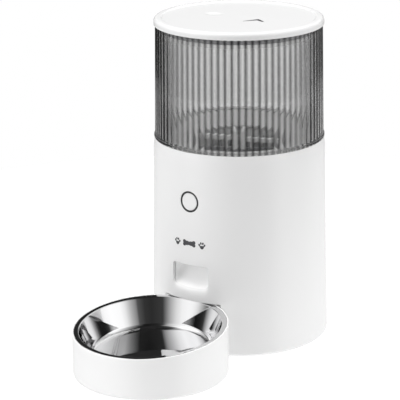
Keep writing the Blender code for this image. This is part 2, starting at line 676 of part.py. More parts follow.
def make_tank():
    """The smoked tank: reeded outside, plain inside, open at both ends."""
    collar_top = SHOULDER_Z + GAP + 2.6
    floor = SHOULDER_Z + GAP
    outer = bmesh.new()
    levels = [(collar_top, TANK_LOW_R), (TANK_TOP, TANK_TOP_R)]
    rows = []
    for z, crest in levels:
        row = []
        for i in range(REEDS):
            for share, depth in ((0.0, REED_DEPTH), (0.3, 0.0), (0.7, 0.0)):
                turn = 2 * math.pi * (i + share) / REEDS
                radius = (crest - depth) * MM
                row.append(outer.verts.new((radius * math.cos(turn), radius * math.sin(turn), z * MM)))
        rows.append(row)
    count = len(rows[0])
    for i in range(count):
        j = (i + 1) % count
        outer.faces.new((rows[0][i], rows[0][j], rows[1][j], rows[1][i]))
    outer.faces.new(rows[1])
    outer.faces.new(list(reversed(rows[0])))
    mesh = bpy.data.meshes.new("tank")
    outer.to_mesh(mesh)
    outer.free()
    tank = place(bpy.data.objects.new("hopper_tank", mesh), SMOKED)
    tank.location = (AXIS[0] * MM, AXIS[1] * MM, 0.0)
    collar = turned("tank_collar", [(0.0, collar_top + 0.4), (SHOULDER_R - 0.6, collar_top + 0.4),
                                    (SHOULDER_R - 0.3, floor + 0.6), (SHOULDER_R - 0.6, floor),
                                    (SPIGOT_R, floor), (SPIGOT_R, SPIGOT_LOW), (0.0, SPIGOT_LOW)],
                    AXIS, None)
    spigot_bore = SPIGOT_R - SPIGOT_WALL
    ledge_r, ledge_top = spigot_bore - 2.2, SPIGOT_LOW + 2.0
    bore = turned("tank_bore", [(0.0, 350.0), (TANK_BORE_R - 0.6, 350.0), (TANK_BORE_R, collar_top + 2.0),
                                (spigot_bore, floor), (spigot_bore, ledge_top), (ledge_r, ledge_top),
                                (ledge_r, 190.0), (0.0, 190.0)],
                  AXIS, None)
    combine(tank, "UNION", collar)
    combine(tank, "DIFFERENCE", bore)
    rim = spigot_bore - GAP
    seat = ledge_top + GAP
    throat_low = 203.8
    turned("tank_funnel", [(rim, 215.5), (rim, seat), (rim - 2.0, seat), (rim - 2.0, 212.5),
                           (THROAT_R + 2.0, throat_low), (THROAT_R, throat_low), (THROAT_R, 206.0),
                           (rim - 1.0, 215.9)],
           AXIS, INNER_WHITE, 48)


def make_lid():
    """The lid, with its plug and the seal in the plug's groove."""
    recess_z = LID_TOP - 1.1
    under = LID_TOP - LID_T
    groove_r, groove_high, groove_low = PLUG_R - 1.6, LID_LOW - 2.0, LID_LOW - 6.0
    plug_low = LID_LOW - 10.0
    inner_r = PLUG_R - 3.4
    profile = [(0.0, recess_z), (80.0, recess_z), (80.8, LID_TOP), (86.0, LID_TOP - 0.3),
               (LID_R, LID_TOP - 3.0), (LID_R, LID_LOW), (PLUG_R, LID_LOW), (PLUG_R, groove_high),
               (groove_r, groove_high), (groove_r, groove_low), (PLUG_R, groove_low), (PLUG_R, plug_low),
               (inner_r, plug_low), (inner_r, under), (0.0, under)]
    lid = turned("lid", profile, AXIS, GLOSS_WHITE, 48)
    for label, turn in (("left", 184.0), ("right", 338.0)):
        at = polar(30.0, math.radians(turn))
        dimple = turned(f"dimple_{label}", [(0.0, 5.0), (14.0, 5.0), (11.0, 0.0), (6.0, -0.9), (0.0, -1.2)],
                        at, None, 32, height=recess_z)
        combine(lid, "DIFFERENCE", dimple)
    turned("lid_seal", [(PLUG_R + 0.9, LID_LOW - 4.0), (PLUG_R - 0.2, groove_low + GAP),
                        (groove_r + GAP, groove_low + GAP), (groove_r + GAP, groove_high - GAP),
                        (PLUG_R - 0.2, groove_high - GAP)],
           AXIS, SILICONE, 48)


def make_desiccant():
    """The cup under the lid, its sachet, and the slotted grille that holds the sachet in."""
    high = LID_TOP - LID_T - GAP
    low, ledge = high - 12.0, high - 10.6
    turned("desiccant_cup", [(31.0, high), (31.0, low), (27.0, low), (27.0, ledge), (29.4, ledge), (29.4, high)],
           AXIS, INNER_WHITE, 32)
    disc("desiccant_pack", 28.6, ledge + 0.7, high - 1.0, AXIS, SACHET, 24)
    slots = []
    for i in range(5):
        x = (i - 2) * 8.0
        slots.append([(x - 2.0, -15.0), (x + 2.0, -15.0), (x + 2.0, 15.0), (x - 2.0, 15.0)])
    extruded("desiccant_grille", [circle(26.7)] + slots, low, low + 1.6, "Z", INNER_WHITE)


# ---------------------------------------------------------------- tray and bowl

def make_tray():
    """The round tray: an upright cup whose rim slopes down to the front."""
    floor_top = BASE_LOW + TRAY_FLOOR_T
    inner_r = TRAY_R - TRAY_WALL
    high = RIM_Z + 12.0
    profile = [(0.0, floor_top), (inner_r - 2.0, floor_top), (inner_r, floor_top + 2.0), (inner_r, high),
               (TRAY_R, high)] + foot_fillet(TRAY_R, TRAY_FILLET) + [(0.0, BASE_LOW)]
    tray = turned("bowl_tray", profile, BOWL_AXIS, GLOSS_WHITE)
    above = disc("rim_trim", 120.0, 0.0, 40.0, BOWL_AXIS, None, height=RIM_Z, tilt=RIM_TILT)
    rebate = disc("rim_rebate", FLANGE_R + GAP, -1.8, 20.0, BOWL_AXIS, None, height=RIM_Z, tilt=RIM_TILT)
    combine(tray, "DIFFERENCE", above, rebate)


def make_bowl():
    """The pressed steel bowl, its flange lying on the tray's sloping rim."""
    floor = -BOWL_DEPTH
    inside = [(0.0, floor), (62.0, floor), (65.6, floor + 1.4), (67.8, floor + 4.6), (72.2, -1.8), (73.6, 0.0)]
    outside = [(FLANGE_R, 0.0), (FLANGE_R, -1.0), (73.2, -1.8), (67.8 + SHEET, floor + 4.1),
               (66.2, floor + 0.6), (62.4, floor - SHEET), (0.0, floor - SHEET)]
    turned("steel_bowl", inside + outside, BOWL_AXIS, STEEL, 56, RIM_Z, RIM_TILT)


def main():
    make_housing()
    make_base_plate()
    make_feet()
    make_dock()
    make_chute()
    make_button()
    make_socket()
    make_chamber()
    make_rotor()
    make_drive()
    make_electronics()
    make_batteries()
    make_tank()
    make_lid()
    make_desiccant()
    make_tray()
    make_bowl()


main()
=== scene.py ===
"""The looks of the automatic pet feeder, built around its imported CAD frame.

Sizes are in millimetres and the mesh functions scale them to metres. Heights (z) count from
the ground. A profile lists (radius, height, corner) points: a corner above 0 is rounded,
starting that far from the point on either side.
"""

import json
import math

import bmesh
import bpy
from mathutils import Matrix, Vector
from mathutils.geometry import delaunay_2d_cdt


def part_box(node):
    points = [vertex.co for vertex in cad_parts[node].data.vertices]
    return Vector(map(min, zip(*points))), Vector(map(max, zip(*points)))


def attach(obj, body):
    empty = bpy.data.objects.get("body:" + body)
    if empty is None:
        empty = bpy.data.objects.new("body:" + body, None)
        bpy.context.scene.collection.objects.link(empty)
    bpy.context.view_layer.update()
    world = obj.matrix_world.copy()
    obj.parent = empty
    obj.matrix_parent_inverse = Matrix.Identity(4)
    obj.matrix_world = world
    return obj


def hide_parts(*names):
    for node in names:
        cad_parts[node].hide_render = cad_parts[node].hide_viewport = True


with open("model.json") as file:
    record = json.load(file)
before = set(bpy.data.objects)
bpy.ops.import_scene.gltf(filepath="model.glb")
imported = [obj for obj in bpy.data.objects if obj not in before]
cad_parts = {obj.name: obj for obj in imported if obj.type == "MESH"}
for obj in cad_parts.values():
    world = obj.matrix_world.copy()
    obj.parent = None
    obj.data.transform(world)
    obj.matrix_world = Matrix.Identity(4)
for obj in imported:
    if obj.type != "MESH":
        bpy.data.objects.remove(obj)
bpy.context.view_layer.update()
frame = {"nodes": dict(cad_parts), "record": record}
NODES = frame["nodes"]

MM = 0.001
ROUND = 192                                     # sides of a large turned piece
FINE_ROUND = 256                                # and of one whose reflections show
SHARP_ANGLE = math.radians(34.0)
MERGE = 0.0001                                  # points closer than this are one


def node_box(name):
    """A CAD node's lowest and highest corner in millimetres."""
    low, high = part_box(name)
    return low / MM, high / MM


HOUSING_LOW, HOUSING_HIGH = node_box("housing")
TRAY_LOW, TRAY_HIGH = node_box("bowl_tray")
TANK_HIGH = node_box("hopper_tank")[1]
LID_LOW, LID_HIGH = node_box("lid")

# Base unit: a cone, a little wider at the foot
FOOT_R = 94.0
SHOULDER_R = 90.0
AXIS_Y = HOUSING_HIGH.y - FOOT_R
SHOULDER_Z = HOUSING_HIGH.z
BASE_Z = HOUSING_LOW.z
FOOT_FILLET = 5.0
SHOULDER_EDGE = 0.8
WALL = 2.5

REEDS = 78                                      # round the tank

# Where the inside of the base unit's wall starts and ends
INNER_LOW = 8.0
INNER_HIGH = 212.0

# Bowl and tray
BOWL_Y = (TRAY_LOW.y + TRAY_HIGH.y) / 2
TRAY_R = (TRAY_HIGH.x - TRAY_LOW.x) / 2
RIM_TILT = math.radians(4.7)
RIM_Z = 50.6                                    # height of the bowl's rim plane at its axis
POCKET_R = 82.5
POCKET_TOP = 57.6


# ---------------------------------------------------------------- camera, light and stage

CAMERA_REACH = 1970.55                          # level distance from the feeder's axis
CAMERA_HEIGHT = 743.64
CAMERA_AROUND = 0.607                           # radians round from the front towards +X
CAMERA_PAN = -0.0214
CAMERA_DOWN = 0.2955
CAMERA_ROLL = -0.0105
CAMERA_LENS = 174.0
SENSOR_WIDTH = 36.0
CLIP_END = 20.0                                 # metres


def make_camera():
    """A long lens, 35 degrees round to the right of the front and looking down 17 degrees."""
    heading = CAMERA_PAN - CAMERA_AROUND
    level = math.cos(CAMERA_DOWN)
    look = Vector((math.sin(heading) * level, math.cos(heading) * level, -math.sin(CAMERA_DOWN)))
    side = Vector((math.cos(heading), -math.sin(heading), 0.0))
    top = side.cross(look)
    right = side * math.cos(CAMERA_ROLL) + top * math.sin(CAMERA_ROLL)
    up = top * math.cos(CAMERA_ROLL) - side * math.sin(CAMERA_ROLL)
    data = bpy.data.cameras.new("camera")
    data.sensor_width = SENSOR_WIDTH
    data.lens = CAMERA_LENS
    data.clip_end = CLIP_END
    camera = bpy.data.objects.new("camera", data)
    bpy.context.scene.collection.objects.link(camera)
    turn = Matrix((right, up, -look)).transposed()
    place = Vector((CAMERA_REACH * math.sin(CAMERA_AROUND),
                    AXIS_Y - CAMERA_REACH * math.cos(CAMERA_AROUND), CAMERA_HEIGHT)) * MM
    camera.matrix_world = Matrix.Translation(place) @ turn.to_4x4()
    bpy.context.scene.camera = camera


make_camera()


def new_material(name):
    """An empty node material; returns the material, its nodes, its links and its output."""
    material = bpy.data.materials.new(name)
    material.use_nodes = True
    tree = material.node_tree
    tree.nodes.clear()
    output = tree.nodes.new("ShaderNodeOutputMaterial")
    return material, tree.nodes, tree.links, output


# Light round the room, as (heading, level) with heading 0 at +X and 90 at +Y: a large soft window to
# the left of the front and another to the right, dark between them. The layers go from the ground up.
FLOOR_BANDS = [
    (-180, 0.35), (-150, 0.45), (-110, 0.9), (-84, 0.75), (-62, 0.05), (-14, 0.05), (0, 0.9),
    (30, 1.0), (110, 0.9), (179, 0.4)]
GROUND_BANDS = [
    (-180, 0.1), (-152, 0.15), (-140, 0.22), (-131, 0.5), (-122, 1.1), (-112, 1.1), (-103, 0.85),
    (-95, 0.5), (-86, 0.3), (-80, 0.1), (-74, 0.01), (-34, 0.01), (-31, 0.12), (-22, 0.25),
    (-12, 0.5), (-2, 0.85), (10, 0.85), (15, 0.3), (30, 0.25), (60, 0.4), (110, 0.15), (130, 0.05),
    (179, 0.1)]
LOW_BANDS = [
    (-180, 0.12), (-170, 0.3), (-162, 0.45), (-152, 0.9), (-140, 1.05), (-120, 1.15), (-108, 1.08),
    (-98, 0.85), (-88, 0.5), (-80, 0.2), (-75, 0.05), (-56, 0.03), (-45, 0.04), (-34, 0.1),
    (-31, 0.28), (-22, 0.55), (-12, 1.0), (-4, 1.2), (14, 1.25), (28, 1.15), (40, 0.75), (52, 0.6),
    (64, 0.35), (100, 0.3), (118, 0.15), (126, 0.04), (140, 0.03), (156, 0.05), (179, 0.1)]
MIDDLE_BANDS = [
    (-180, 0.6), (-168, 0.9), (-158, 1.35), (-145, 1.5), (-125, 1.45), (-112, 1.15), (-98, 0.85),
    (-88, 0.5), (-79, 0.06), (-68, 0.02), (-42, 0.01), (-30, 0.12), (-18, 0.34), (-6, 0.6),
    (6, 0.9), (18, 1.2), (30, 1.0), (42, 0.7), (56, 0.55), (80, 0.6), (100, 0.75), (114, 0.7),
    (122, 0.35), (127, 0.02), (146, 0.02), (160, 0.2), (170, 0.5), (179, 0.58)]
HIGH_BANDS = [
    (-180, 1.0), (-165, 1.35), (-150, 1.3), (-135, 1.35), (-120, 1.1), (-106, 0.7), (-94, 0.4),
    (-85, 0.03), (-50, 0.01), (-28, 0.02), (-18, 0.15), (-4, 0.35), (10, 0.6), (50, 0.5), (70, 0.4),
    (100, 0.75), (114, 0.5), (126, 0.05), (145, 0.02), (158, 0.6), (179, 0.97)]
SOFT_BANDS = [                                  # how much stronger the room is on matt surfaces
    (-180, 1.6), (-150, 1.6), (-120, 1.6), (-100, 1.45), (-60, 1.25), (0, 1.35), (60, 1.4),
    (179, 1.5)]
# The layers above the floor's, each fading in between two heights of the sky's unit sphere
LAYERS = [(GROUND_BANDS, -0.3, -0.18), (LOW_BANDS, -0.02, 0.1), (MIDDLE_BANDS, 0.36, 0.54),
          (HIGH_BANDS, 0.62, 0.78)]
TOP_START, TOP_FULL = 0.86, 0.95                # the ceiling fades in between these heights
CEILING_SHINE = 0.02                            # what gloss surfaces see straight above
SHINE_TOP = 1.7                                 # brighter than every band
OVERHEAD = 4.2                                  # a lamp straight above that only matt surfaces see
HALF_TURN = 180.0


def heading_bands(nodes, links, share, bands):
    """A grey level by heading, from a colour ramp."""
    ramp = nodes.new("ShaderNodeValToRGB")
    elements = ramp.color_ramp.elements
    for heading, _ in bands[1:-1]:
        elements.new((heading + HALF_TURN) / (2 * HALF_TURN))
    for element, (heading, level) in zip(elements, bands):
        element.position = (heading + HALF_TURN) / (2 * HALF_TURN)
        element.color = (level / SHINE_TOP, level / SHINE_TOP, level / SHINE_TOP, 1.0)
    links.new(share, ramp.inputs["Fac"])
    return times(nodes, links, ramp.outputs["Color"], SHINE_TOP)


def feed(links, sockets, values):
    """Set each input socket to a constant or link it from another node's output."""
    for socket, value in zip(sockets, values):
        if isinstance(value, (float, tuple)):
            socket.default_value = value
        else:
            links.new(value, socket)


def math_node(nodes, links, operation, *values):
    """A maths node on numbers or sockets."""
    node = nodes.new("ShaderNodeMath")
    node.operation = operation
    feed(links, node.inputs, values)
    return node.outputs[0]


def times(nodes, links, value, factor, added=0.0):
    """A socket's value times a number or another socket, plus a number."""
    return math_node(nodes, links, "MULTIPLY_ADD", value, factor, added)


def blend(nodes, links, share, first, second):
    """Mix two levels, each a socket or a number, by a share."""
    mix = nodes.new("ShaderNodeMix")
    feed(links, (mix.inputs[0], mix.inputs[2], mix.inputs[3]), (share, first, second))
    return mix.outputs[0]


def coordinates(nodes, links, kind):
    """The x, y and z sockets of one kind of texture coordinate."""
    place = nodes.new("ShaderNodeTexCoord")
    split = nodes.new("ShaderNodeSeparateXYZ")
    links.new(place.outputs[kind], split.inputs[0])
    return split.outputs


def ramp_between(nodes, links, value, low, high):
    """0 at one value of a socket, 1 at another, smooth between."""
    step = nodes.new("ShaderNodeMapRange")
    step.interpolation_type = "SMOOTHSTEP"
    step.inputs["From Min"].default_value = low
    step.inputs["From Max"].default_value = high
    links.new(value, step.inputs["Value"])
    return step.outputs["Result"]


def make_world():
    """White to the eye and through glass; soft bands of studio light for the rest."""
    world = bpy.data.worlds.new("studio")
    bpy.context.scene.world = world
    world.use_nodes = True
    nodes, links = world.node_tree.nodes, world.node_tree.links
    nodes.clear()
    output = nodes.new("ShaderNodeOutputWorld")
    along, deep, height = coordinates(nodes, links, "Generated")
    share = nodes.new("ShaderNodeMapRange")
    share.inputs["From Min"].default_value = -math.pi
    share.inputs["From Max"].default_value = math.pi
    links.new(math_node(nodes, links, "ARCTAN2", deep, along), share.inputs["Value"])
    around = share.outputs["Result"]
    shine = heading_bands(nodes, links, around, FLOOR_BANDS)
    for bands, start, full in LAYERS:
        layer = heading_bands(nodes, links, around, bands)
        shine = blend(nodes, links, ramp_between(nodes, links, height, start, full), shine, layer)
    top = ramp_between(nodes, links, height, TOP_START, TOP_FULL)
    soft = times(nodes, links, shine, heading_bands(nodes, links, around, SOFT_BANDS))
    soft = blend(nodes, links, top, soft, OVERHEAD)
    shine = blend(nodes, links, top, shine, CEILING_SHINE)
    path = nodes.new("ShaderNodeLightPath")
    level = blend(nodes, links, path.outputs["Is Glossy Ray"], soft, shine)
    clear = math_node(nodes, links, "MAXIMUM", path.outputs["Is Camera Ray"],
                      path.outputs["Is Transmission Ray"])
    level = blend(nodes, links, clear, level, 1.0)
    studio = nodes.new("ShaderNodeBackground")
    studio.inputs["Strength"].default_value = 1.0
    links.new(level, studio.inputs["Color"])
    links.new(studio.outputs[0], output.inputs["Surface"])


FLOOR_R = 0.7                                   # metres
FLOOR_SIDES = 96
FLOOR_TONE = 0.25
FLOOR_GLOW = 0.82


def make_stage():
    """A pale round floor that stays nearly white, with only a breath of shadow."""
    bm = bmesh.new()
    bmesh.ops.create_circle(bm, cap_ends=True, segments=FLOOR_SIDES, radius=FLOOR_R)
    mesh = bpy.data.meshes.new("floor")
    bm.to_mesh(mesh)
    bm.free()
    floor = bpy.data.objects.new("floor", mesh)
    bpy.context.scene.collection.objects.link(floor)
    floor.location.y = AXIS_Y * MM
    floor.visible_glossy = False
    material, nodes, links, output = new_material("floor_white")
    matte = nodes.new("ShaderNodeBsdfDiffuse")
    matte.inputs["Color"].default_value = (FLOOR_TONE, FLOOR_TONE, FLOOR_TONE, 1.0)
    glow = nodes.new("ShaderNodeEmission")
    glow.inputs["Strength"].default_value = FLOOR_GLOW
    both = nodes.new("ShaderNodeAddShader")
    links.new(matte.outputs[0], both.inputs[0])
    links.new(glow.outputs[0], both.inputs[1])
    links.new(both.outputs[0], output.inputs["Surface"])
    mesh.materials.append(material)


make_world()
make_stage()
bpy.context.scene.view_settings.view_transform = "Standard"


# ---------------------------------------------------------------- materials

GRAIN_DEPTH = 0.0002                            # metres, before the bump's strength


def principled(name, colour, roughness, metallic=0.0, **more):
    """A Principled material and its parts, for detail to be added to."""
    material, nodes, links, output = new_material(name)
    shader = nodes.new("ShaderNodeBsdfPrincipled")
    shader.inputs["Base Color"].default_value = (*colour, 1.0)
    shader.inputs["Roughness"].default_value = roughness
    shader.inputs["Metallic"].default_value = metallic
    for key, value in more.items():
        shader.inputs[key.replace("_", " ")].default_value = value
    links.new(shader.outputs[0], output.inputs["Surface"])
    return material, nodes, links, shader


def add_bump(nodes, links, shader, height, strength, distance):
    """Bump a shader's surface by a height socket."""
    bump = nodes.new("ShaderNodeBump")
    bump.inputs["Strength"].default_value = strength
    bump.inputs["Distance"].default_value = distance
    links.new(height, bump.inputs["Height"])
    links.new(bump.outputs[0], shader.inputs["Normal"])


def add_grain(nodes, links, shader, scale, strength):
    """A fine procedural surface texture; returns its noise."""
    place = nodes.new("ShaderNodeTexCoord")
    noise = nodes.new("ShaderNodeTexNoise")
    noise.inputs["Scale"].default_value = scale
    noise.inputs["Detail"].default_value = 3.0
    links.new(place.outputs["Object"], noise.inputs["Vector"])
    add_bump(nodes, links, shader, noise.outputs["Fac"], strength, GRAIN_DEPTH)
    return noise


def make_gloss_white(name, glow=0.0):
    """Satin white moulded plastic with a very fine grain, and an even glow of painted light when glow
    is above 0.
    """
    material, nodes, links, shader = principled(name, (0.9, 0.9, 0.9), 0.26, Specular_IOR_Level=1.0,
                                                Emission_Strength=glow)
    shader.inputs["Emission Color"].default_value = (1.0, 1.0, 1.0, 1.0)
    add_grain(nodes, links, shader, 900.0, 0.03)
    return material


SMOKE = 24.0                                    # absorption in the smoked wall, per metre
GROOVE_PAINTED_SHADE_LEVEL = 0.2                               # base colour at each groove of the reeding: painted shade
GROOVE_EDGE, CREST_EDGE = -0.02, 0.42           # the painted shade fades between these places across a reed


def make_smoked():
    """Smoked see-through plastic: darker with the wall's thickness, and with painted shade along each
    groove that fades out towards each crest.
    """
    material, nodes, links, shader = principled("smoked_clear", (1.0, 1.0, 1.0), 0.05, IOR=1.49,
                                                Transmission_Weight=1.0)
    smoke = nodes.new("ShaderNodeVolumeAbsorption")
    smoke.inputs["Color"].default_value = (0.0, 0.0, 0.0, 1.0)
    smoke.inputs["Density"].default_value = SMOKE
    output = next(node for node in nodes if node.bl_idname == "ShaderNodeOutputMaterial")
    links.new(smoke.outputs[0], output.inputs["Volume"])
    # painted shade: the base colour darkens from the crest of each reed to its groove
    along, deep, _ = coordinates(nodes, links, "Object")
    turn = math_node(nodes, links, "ARCTAN2", times(nodes, links, deep, 1.0, -AXIS_Y * MM), along)
    reeds = times(nodes, links, turn, REEDS / (2 * math.pi))
    reed = math_node(nodes, links, "PINGPONG", reeds, 0.5)
    crest = ramp_between(nodes, links, reed, GROOVE_EDGE, CREST_EDGE)
    links.new(times(nodes, links, crest, 1.0 - GROOVE_PAINTED_SHADE_LEVEL, GROOVE_PAINTED_SHADE_LEVEL), shader.inputs["Base Color"])
    return material


def make_steel():
    """Polished steel: faint rings round the bowl from spinning and polishing."""
    material, nodes, links, shader = principled("bowl_steel", (0.8, 0.8, 0.805), 0.03, 1.0)
    place = nodes.new("ShaderNodeTexCoord")
    vector = place.outputs["Object"]
    for operation, other in (("SUBTRACT", (0.0, BOWL_Y * MM, 0.0)), ("MULTIPLY", (1.0, 1.0, 0.0)),
                             ("LENGTH", None)):
        node = nodes.new("ShaderNodeVectorMath")
        node.operation = operation
        links.new(vector, node.inputs[0])
        if other:
            node.inputs[1].default_value = other
        vector = node.outputs["Value" if operation == "LENGTH" else "Vector"]
    rings = nodes.new("ShaderNodeTexNoise")
    rings.noise_dimensions = "1D"
    rings.inputs["Scale"].default_value = 2600.0
    rings.inputs["Detail"].default_value = 2.0
    links.new(vector, rings.inputs["W"])
    add_bump(nodes, links, shader, rings.outputs["Fac"], 0.02, 0.00005)
    links.new(times(nodes, links, rings.outputs["Fac"], 0.04, 0.015), shader.inputs["Roughness"])
    return material


def make_moulded(name, colour, roughness, metallic=0.0, scale=1400.0, bump=0.1, spread=0.12):
    """A plain finish with grain in its surface, its sheen and its tone."""
    material, nodes, links, shader = principled(name, colour, roughness, metallic)
    noise = add_grain(nodes, links, shader, scale, bump)
    sheen = nodes.new("ShaderNodeMapRange")
    sheen.inputs["To Min"].default_value = roughness * (1.0 - spread)
    sheen.inputs["To Max"].default_value = min(1.0, roughness * (1.0 + spread))
    links.new(noise.outputs["Fac"], sheen.inputs["Value"])
    links.new(sheen.outputs["Result"], shader.inputs["Roughness"])
    tone = nodes.new("ShaderNodeMix")
    tone.data_type = "RGBA"
    links.new(noise.outputs["Fac"], tone.inputs[0])
    tone.inputs[6].default_value = (*(c * (1.0 - spread / 2) for c in colour), 1.0)
    tone.inputs[7].default_value = (*(min(1.0, c * (1.0 + spread / 2)) for c in colour), 1.0)
    links.new(tone.outputs[2], shader.inputs["Base Color"])
    return material


GLOSS_WHITE = make_gloss_white("gloss_white")
CHUTE_PAINTED_LIGHT_WHITE = make_gloss_white("chute_painted_light_white", 0.12)      # a faint glow of painted light, so that the recess looks evenly lit
SMOKED = make_smoked()
STEEL = make_steel()
INK = make_moulded("print_ink", (0.06, 0.06, 0.065), 0.4, scale=3000.0, bump=0.05)

# Slot name, colour, roughness, metal, grain scale, bump and spread
FINISHES = [
    ("inner_white", (0.84, 0.84, 0.84), 0.4, 0.0, 1800.0, 0.1, 0.06),
    ("zinc_steel", (0.62, 0.62, 0.64), 0.32, 1.0, 600.0, 0.15, 0.3),
    ("grey_silicone", (0.3, 0.3, 0.31), 0.6, 0.0, 2200.0, 0.2, 0.12),
    ("foot_rubber", (0.04, 0.04, 0.04), 0.75, 0.0, 2600.0, 0.3, 0.25),
    ("dark_plastic", (0.022, 0.022, 0.024), 0.4, 0.0, 2400.0, 0.25, 0.2),
    ("gear_acetal", (0.8, 0.79, 0.76), 0.35, 0.0, 1200.0, 0.1, 0.12),
    ("brass", (0.76, 0.58, 0.3), 0.28, 1.0, 700.0, 0.1, 0.25),
    ("board_green", (0.02, 0.14, 0.06), 0.38, 0.0, 900.0, 0.1, 0.3),
    ("cell_jacket", (0.05, 0.055, 0.07), 0.3, 0.0, 500.0, 0.1, 0.2),
    ("desiccant_sachet", (0.82, 0.82, 0.8), 0.85, 0.0, 1500.0, 0.6, 0.12)]

BY_SLOT = {finish[0]: make_moulded(*finish) for finish in FINISHES}
BY_SLOT.update({"gloss_white": GLOSS_WHITE, "smoked_clear": SMOKED, "bowl_steel": STEEL})


def dress_nodes():
    """Give every CAD node the material of its slot."""
    for entry in frame["record"]["subparts"]:
        mesh = NODES[entry["node"]].data
        mesh.materials.clear()
        mesh.materials.append(BY_SLOT[entry["material_slot"]])
    NODES["agitator"].data.materials[0] = BY_SLOT["inner_white"]


dress_nodes()


# ---------------------------------------------------------------- mesh helpers

def add_piece(name, bm, material, body, slot, *replaced):
    """Turn a bmesh, in millimetres, into a smooth piece that rides on a body."""
    bmesh.ops.remove_doubles(bm, verts=bm.verts, dist=MERGE)
    bmesh.ops.scale(bm, vec=(MM, MM, MM), verts=bm.verts)
    mesh = bpy.data.meshes.new(name)
    bm.to_mesh(mesh)
    bm.free()
    mesh.shade_smooth()
    mesh.set_sharp_from_angle(angle=SHARP_ANGLE)
    mesh.materials.append(material)
    piece = bpy.data.objects.new(name, mesh)
    bpy.context.scene.collection.objects.link(piece)
    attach(piece, body)
    if replaced:
        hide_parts(*replaced)
    return piece


def bend(start, corner, end, steps):
    """Points of a quadratic curve that rounds a corner."""
    points = []
    for i in range(steps + 1):
        t = i / steps
        points.append(start * (1 - t) ** 2 + corner * (2 * t * (1 - t)) + end * t ** 2)
    return points


def soften(profile, steps=6):
    """Round the marked corners of a closed or open profile of (radius, height, corner) points."""
    points = [Vector((r, z)) for r, z, _ in profile]
    count = len(points)
    out = []
    for i, (_, _, size) in enumerate(profile):
        here = points[i]
        if size == 0:
            out.append(here)
            continue
        before = here + (points[i - 1] - here).normalized() * size
        after = here + (points[(i + 1) % count] - here).normalized() * size
        out += bend(before, here, after, steps)
    return out


def turned_rings(points, count=ROUND):
    """One ring of points round the vertical axis for each (radius, height) point."""
    turns = [2 * math.pi * i / count for i in range(count)]
    rings = []
    for r, z in points:
        if r < 0.001:
            rings.append([Vector((0.0, 0.0, z))])
        else:
            rings.append([Vector((r * math.cos(t), r * math.sin(t), z)) for t in turns])
    return rings


def moved_back(rings, y):
    """Rings of points moved along Y."""
    return [[Vector((p.x, p.y + y, p.z)) for p in ring] for ring in rings]


def skin(bm, rings, wrap=False, around=True):
    """Join neighbouring rings of points with faces; a ring of one point is a pole."""
    rows = [[bm.verts.new(p) for p in ring] for ring in rings]
    if wrap:
        rows.append(rows[0])
    for low, high in zip(rows, rows[1:]):
        count = max(len(low), len(high))
        for i in range(count if around else count - 1):
            j = (i + 1) % count
            corners = [low[i % len(low)], low[j % len(low)], high[j % len(high)], high[i % len(high)]]
            face = [v for k, v in enumerate(corners) if v not in corners[:k]]
            if len(face) > 2:
                bm.faces.new(face)
    return rows


# ---------------------------------------------------------------- base unit's surface

FOOT_V = BASE_Z + FOOT_FILLET - FOOT_FILLET * math.pi / 2
TOP_V = SHOULDER_Z - SHOULDER_EDGE + SHOULDER_EDGE * math.pi / 2
SEAM = math.radians(-135.0)                     # the unrolled wall starts and ends at this turn
UNROLL_R = 92.0                                 # millimetres along the wall for each radian of turn
COLUMN_COUNT = 120
COLUMNS = [SEAM + 2 * math.pi * i / COLUMN_COUNT for i in range(COLUMN_COUNT + 1)]
WALL_SEARCH = 14.0                              # the wall is thinner than this along any way in
HALVINGS = 30


def body_point(turn, v, depth=0.0):
    """A point on the base unit: turn 0 faces the bowl and grows towards +X, depth goes inwards.

    v is the height, carried on round the foot's fillet and the shoulder's edge by arc length.
    """
    low, high = BASE_Z + FOOT_FILLET, SHOULDER_Z - SHOULDER_EDGE
    if v < low:
        lean = (low - v) / FOOT_FILLET
        out = Vector((math.cos(lean), -math.sin(lean)))
        middle = Vector((FOOT_R - FOOT_FILLET, low))
        place = middle + out * FOOT_FILLET
    elif v > high:
        lean = (v - high) / SHOULDER_EDGE
        out = Vector((math.cos(lean), math.sin(lean)))
        place = Vector((SHOULDER_R - SHOULDER_EDGE, high)) + out * SHOULDER_EDGE
    else:
        place = Vector((cone_r(v), v))
        out = Vector((1.0, 0.0))
    radius, z = place - out * depth
    return Vector((radius * math.sin(turn), AXIS_Y - radius * math.cos(turn), z))


def cone_r(z):
    """The base unit's radius between its fillets."""
    low, high = BASE_Z + FOOT_FILLET, SHOULDER_Z - SHOULDER_EDGE
    return FOOT_R + (SHOULDER_R - FOOT_R) * (z - low) / (high - low)


def unroll(point):
    """The (along, height) place of a point on or inside the wall."""
    turn = math.atan2(point.x, AXIS_Y - point.y)
    if turn < SEAM:
        turn += 2 * math.pi
    return Vector((turn * UNROLL_R, point.z))


def inside(point, loop):
    """Whether a point lies within a closed outline."""
    hit = False
    for a, b in zip(loop, loop[1:] + loop[:1]):
        if (a.y > point.y) != (b.y > point.y):
            if point.x < a.x + (b.x - a.x) * (point.y - a.y) / (b.y - a.y):
                hit = not hit
    return hit


